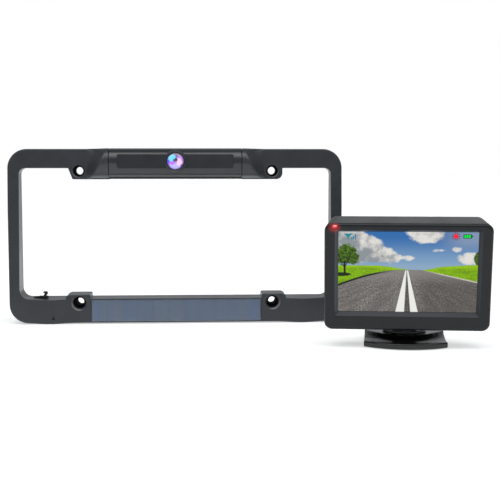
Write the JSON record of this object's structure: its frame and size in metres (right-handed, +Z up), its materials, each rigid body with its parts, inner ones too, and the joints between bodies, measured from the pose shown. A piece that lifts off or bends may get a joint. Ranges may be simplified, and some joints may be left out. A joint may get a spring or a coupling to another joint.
{
  "type": "backup camera kit",
  "caption": "Number-plate frame with a tilting camera bar and a solar panel, and a dash monitor on a swivelling, tilting adhesive stand.",
  "frame": {"origin": "on the floor, at the middle of the kit's bounding box", "axes": "+X to the right of someone facing the kit, +Y from its front to its back, +Z up"},
  "size_m": [0.4048, 0.1867, 0.161],
  "materials": {
    "charcoal_plastic": "moulded, very fine satin texture",
    "black_plastic": "moulded, fine satin texture",
    "satin_black": "satin to gloss black",
    "black_rubber": "matt soft rubber",
    "solar_blue": "blue-grey cells with fine vertical bands",
    "clear_cover": "clear laminate over the cells",
    "lens_glass": "coated glass dome, blue to magenta",
    "screen": "lit display behind a matt front",
    "circuit_board": "green solder mask",
    "steel": "zinc-plated",
    "battery_wrap": "shrink wrap",
    "red_light": "translucent red",
    "grey_foam": "foam"
  },
  "bodies": {
    "frame": {"frame_front_shell": "charcoal_plastic", "frame_back_cover": "charcoal_plastic", "frame_screw_1": "steel", "frame_screw_2": "steel", "frame_screw_3": "steel", "frame_screw_4": "steel", "frame_screw_5": "steel", "frame_screw_6": "steel", "solar_cells": "solar_blue", "solar_cover": "clear_cover", "battery_cell_left": "battery_wrap", "battery_cell_right": "battery_wrap", "transmitter_board": "circuit_board", "usb_port": "steel", "status_led": "red_light", "antenna_strip": "circuit_board", "camera_cable": "black_rubber", "power_lead": "black_rubber"},
    "camera_bar": {"bar_front_shell": "charcoal_plastic", "bar_rear_shell": "charcoal_plastic", "bar_screw_left": "steel", "bar_screw_right": "steel", "pivot_left": "black_plastic", "pivot_right": "black_plastic", "oring_left": "black_rubber", "oring_right": "black_rubber", "lens_ring": "black_plastic", "lens_glass": "lens_glass", "lens_barrel": "black_plastic", "sensor_board": "circuit_board"},
    "port_plug": {"port_plug": "black_rubber"},
    "stand": {"stand_base": "satin_black", "base_cover": "black_plastic", "adhesive_pad": "grey_foam"},
    "turntable": {"swivel_plate": "black_plastic", "swivel_screw": "steel"},
    "monitor": {"monitor_bezel": "black_plastic", "monitor_rear_shell": "black_plastic", "screen_glass": "screen", "lcd_panel": "steel", "led_light_pipe": "red_light", "monitor_board": "circuit_board", "monitor_screw_left": "steel", "monitor_screw_right": "steel", "tilt_bracket": "black_plastic", "bracket_screw_left": "steel", "bracket_screw_right": "steel", "hinge_pin": "steel", "hinge_nut": "steel", "friction_washer_left": "grey_foam", "friction_washer_right": "grey_foam", "cable_gland": "black_rubber"},
    "button_menu": {"button_menu": "black_rubber"},
    "button_up": {"button_up": "black_rubber"},
    "button_down": {"button_down": "black_rubber"}
  },
  "joints": [
    {"name": "camera_tilt", "type": "hinge", "parent": "frame", "child": "camera_bar", "pos_m": [-0.0489, 0.0773, 0.1474], "axis": [1, 0, 0], "range_deg": [-25, 30]},
    {"name": "port_plug_flap", "type": "hinge", "parent": "frame", "child": "port_plug", "pos_m": [-0.181, 0.0818, 0.0235], "axis": [0, -1, 0], "range_deg": [0, 95]},
    {"name": "monitor_lift", "type": "slide", "parent": "frame", "child": "stand", "axis": [0, 0, 1], "range_m": [0, 0.15]},
    {"name": "monitor_swivel", "type": "hinge", "parent": "stand", "child": "turntable", "pos_m": [0.14156, -0.03903, 0.01], "axis": [0, 0, 1], "range_deg": [-45, 45]},
    {"name": "monitor_tilt", "type": "hinge", "parent": "turntable", "child": "monitor", "pos_m": [0.14242, -0.03309, 0.034], "axis": [0.9898, -0.1426, 0], "range_deg": [-35, 5]},
    {"name": "button_menu_press", "type": "slide", "parent": "monitor", "child": "button_menu", "axis": [-0.1408, -0.977, -0.1599], "range_m": [0, 0.0008], "stiffness_N_per_m": 600},
    {"name": "button_up_press", "type": "slide", "parent": "monitor", "child": "button_up", "axis": [-0.1408, -0.977, -0.1599], "range_m": [0, 0.0008], "stiffness_N_per_m": 600},
    {"name": "button_down_press", "type": "slide", "parent": "monitor", "child": "button_down", "axis": [-0.1408, -0.977, -0.1599], "range_m": [0, 0.0008], "stiffness_N_per_m": 600}
  ]
}
